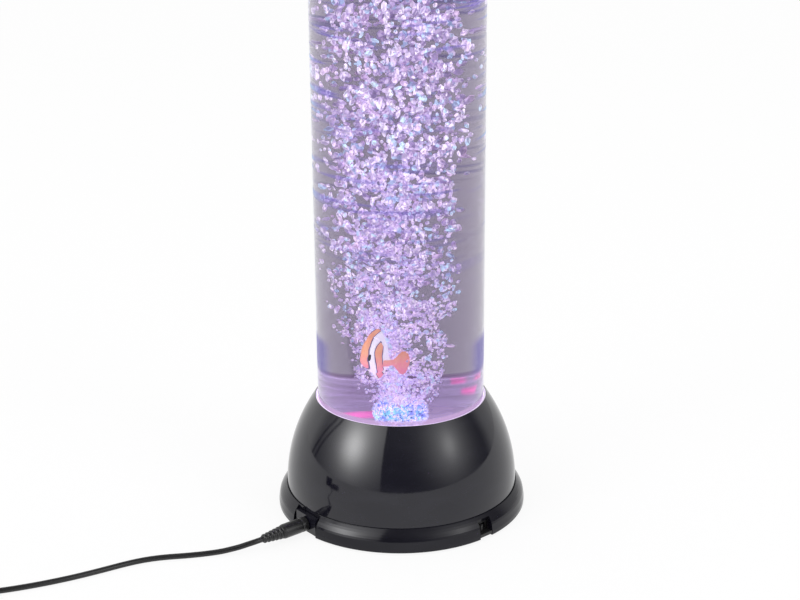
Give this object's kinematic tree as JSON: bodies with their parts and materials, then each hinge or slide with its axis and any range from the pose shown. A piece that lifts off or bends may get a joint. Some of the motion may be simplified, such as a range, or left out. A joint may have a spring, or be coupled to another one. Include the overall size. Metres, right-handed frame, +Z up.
{
  "type": "bubble tube floor lamp",
  "caption": "Floor lamp with a tall clear water tube on a round black base; an air pump sends bubbles past drifting fish over a ring of lights.",
  "frame": {"origin": "on the floor under the middle of the lamp", "axes": "+Z up along the tube, +X to the right and -Y towards the viewer as the lamp is pictured"},
  "size_m": [0.4586, 0.269, 1.0568],
  "materials": {
    "gloss_black": "high gloss injection moulded black",
    "satin_black": "satin moulded black",
    "soft_rubber": "moulded rubber",
    "lead_black": "smooth black PVC",
    "clear_acrylic": "clear polished acrylic",
    "milky_acrylic": "translucent moulded plastic",
    "pale_plastic": "pale moulded plastic",
    "screw_steel": "zinc plated",
    "iron": "laminated iron",
    "copper_wire": "enamelled copper",
    "green_board": "fibreglass board",
    "white_board": "white fibreglass board",
    "black_parts": "moulded component bodies",
    "light_chip": "clear resin over phosphor",
    "clear_hose": "soft clear hose",
    "red_lead": "PVC insulation",
    "white_lead": "PVC insulation",
    "air_stone": "bonded porous grains, lit from below",
    "fish_orange": "painted plastic, orange with pale bands",
    "contact_metal": "nickel plated"
  },
  "bodies": {
    "lamp": {"bottom_plate": "satin_black", "rubber_feet": "soft_rubber", "case_screws": "screw_steel", "trim_ring": "gloss_black", "base_dome": "gloss_black", "support_drum": "pale_plastic", "drum_screws": "screw_steel", "seat_cup": "milky_acrylic", "tube": "clear_acrylic", "tube_floor": "clear_acrylic", "air_nozzle": "pale_plastic", "nozzle_gasket": "soft_rubber", "nozzle_nut": "pale_plastic", "air_stone": "air_stone", "light_board": "white_board", "light_chips": "light_chip", "control_board": "green_board", "board_parts": "black_parts", "board_screws": "screw_steel", "power_inlet": "satin_black", "switch_body": "satin_black", "pump_case": "pale_plastic", "pump_lid": "pale_plastic", "lid_screws": "screw_steel", "pump_pads": "soft_rubber", "pump_core": "iron", "pump_coil": "copper_wire", "arm_pivot": "screw_steel", "pump_bellows": "soft_rubber", "valve_box": "black_parts", "check_valve": "clear_hose", "air_hose_lower": "clear_hose", "air_hose_upper": "clear_hose", "inlet_lead": "red_lead", "switch_lead": "lead_black", "light_lead": "white_lead", "pump_lead": "lead_black", "power_plug": "lead_black", "plug_barrel": "contact_metal", "cord": "lead_black", "cord_coil": "lead_black", "cord_tie": "lead_black", "adapter_case": "satin_black", "adapter_lid": "satin_black", "adapter_blades": "contact_metal", "adapter_board": "green_board"},
    "cap": {"top_cap": "gloss_black", "cap_seal": "soft_rubber"},
    "switch_button": {"switch_knob": "satin_black"},
    "pump_lever": {"pump_arm": "screw_steel", "arm_magnet": "iron"},
    "fish_a": {"fish_1": "fish_orange"},
    "fish_b": {"fish_2": "fish_orange"},
    "fish_c": {"fish_3": "fish_orange"},
    "fish_d": {"fish_4": "fish_orange"},
    "fish_e": {"fish_5": "fish_orange"}
  },
  "joints": [
    {"name": "cap_lift", "type": "slide", "parent": "lamp", "child": "cap", "axis": [0, 0, 1], "range_m": [0, 0.06]},
    {"name": "switch_slide", "type": "slide", "parent": "lamp", "child": "switch_button", "axis": [0.749, 0.6626, 0], "range_m": [0, 0.003]},
    {"name": "lever_swing", "type": "hinge", "parent": "lamp", "child": "pump_lever", "pos_m": [-0.025, 0.014, 0.0202], "axis": [0, 1, 0], "range_deg": [-2, 2], "stiffness_Nm_per_rad": 0.5, "deforming": ["pump_bellows"]},
    {"name": "fish_1_drift", "type": "slide", "parent": "lamp", "child": "fish_a", "axis": [0, 0, 1], "range_m": [-0.02, 0.12]},
    {"name": "fish_2_drift", "type": "slide", "parent": "lamp", "child": "fish_b", "axis": [0, 0, 1], "range_m": [-0.03, 0.09]},
    {"name": "fish_3_drift", "type": "slide", "parent": "lamp", "child": "fish_c", "axis": [0, 0, 1], "range_m": [-0.03, 0.09]},
    {"name": "fish_4_drift", "type": "slide", "parent": "lamp", "child": "fish_d", "axis": [0, 0, 1], "range_m": [-0.03, 0.09]},
    {"name": "fish_5_drift", "type": "slide", "parent": "lamp", "child": "fish_e", "axis": [0, 0, 1], "range_m": [-0.03, 0.09]}
  ]
}
